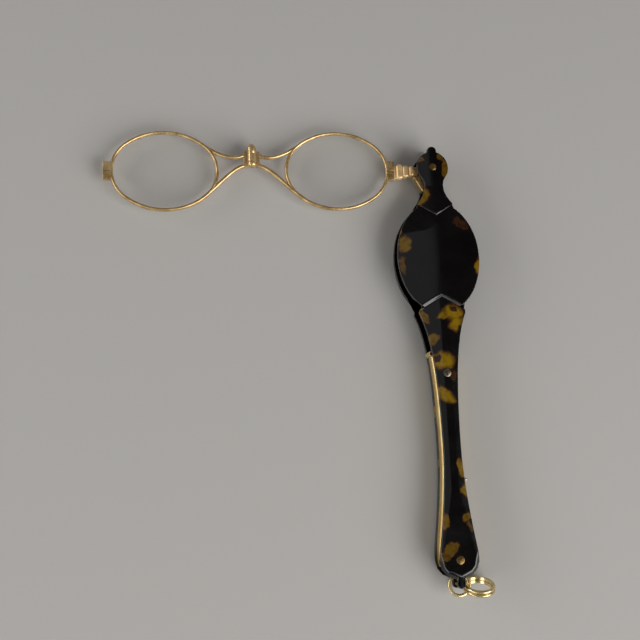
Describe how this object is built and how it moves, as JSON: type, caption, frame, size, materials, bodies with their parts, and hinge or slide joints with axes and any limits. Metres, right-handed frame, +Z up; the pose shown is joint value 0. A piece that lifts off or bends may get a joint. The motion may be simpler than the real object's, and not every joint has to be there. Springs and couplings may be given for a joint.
{
  "type": "folding lorgnette",
  "caption": "Folding lorgnette: an oval-rimmed front that folds at its bridge and swings into a slot in a faceted tortoiseshell handle.",
  "frame": {"origin": "on the flat land under the case, below the middle of the case", "axes": "+Z up from the face it lies on, +Y along the handle towards its head, -X along the open front"},
  "size_m": [0.1288, 0.1621, 0.0107],
  "materials": {
    "tortoiseshell": "polished dark tortoiseshell with amber mottling",
    "gilt_brass": "polished gold-coloured metal",
    "steel": "bright steel",
    "lens_glass": "clear glass"
  },
  "bodies": {
    "handle": {"upper_plate": "tortoiseshell", "lower_plate": "tortoiseshell", "pivot_washers": "gilt_brass", "shank_rivet": "steel", "tail_rivet": "gilt_brass", "shank_spacer": "gilt_brass", "tail_spacers": "gilt_brass", "backing_strip": "gilt_brass", "button_bush": "steel", "ring_pin": "gilt_brass"},
    "strip": {"catch_strip": "gilt_brass"},
    "button": {"release_button": "steel"},
    "pin": {"pivot_pin": "gilt_brass"},
    "right_front": {"swing_hub": "gilt_brass", "end_block": "gilt_brass", "right_rim": "gilt_brass", "right_lens": "lens_glass", "right_bridge": "gilt_brass", "right_closing_screw": "gilt_brass", "bridge_pin": "steel"},
    "left_front": {"left_rim": "gilt_brass", "left_lens": "lens_glass", "left_bridge": "gilt_brass", "left_closing_screw": "gilt_brass"},
    "jump_ring": {"jump_ring": "gilt_brass"},
    "split_ring": {"split_ring": "gilt_brass"}
  },
  "joints": [
    {"name": "pin_turn", "type": "hinge", "parent": "pin", "child": "handle", "pos_m": [0, 0.0324, 0.0045], "axis": [0, 0, -1], "range_deg": [0, 12]},
    {"name": "front_swing", "type": "hinge", "parent": "pin", "child": "right_front", "pos_m": [0, 0.0324, 0.0045], "axis": [0, 0, 1], "range_deg": [0, 78]},
    {"name": "bridge_fold", "type": "hinge", "parent": "right_front", "child": "left_front", "pos_m": [-0.0634, 0.0375, 0.0045], "axis": [0, 1, 0], "range_deg": [0, 180]},
    {"name": "strip_flex", "type": "hinge", "parent": "handle", "child": "strip", "pos_m": [0, -0.103, 0.0045], "axis": [0, 0, 1], "range_deg": [0, 1.3], "stiffness_Nm_per_rad": 0.3},
    {"name": "button_press", "type": "slide", "parent": "handle", "child": "button", "axis": [-1, 0, 0], "range_m": [0, 0.0006]},
    {"name": "jump_ring_turn", "type": "hinge", "parent": "handle", "child": "jump_ring", "pos_m": [0, -0.1109, 0.0045], "axis": [0, 0, 1], "range_deg": [-120, 0]},
    {"name": "split_ring_tilt", "type": "hinge", "parent": "jump_ring", "child": "split_ring", "pos_m": [0.0036, -0.11125, 0.0045], "axis": [0, -1, 0], "range_deg": [-10, 15]}
  ],
  "couplings": [
    {"joint": "pin_turn", "follows": "bridge_fold", "ratio": 0.066667},
    {"joint": "button_press", "follows": "strip_flex", "m_per_rad": 0.0264}
  ]
}
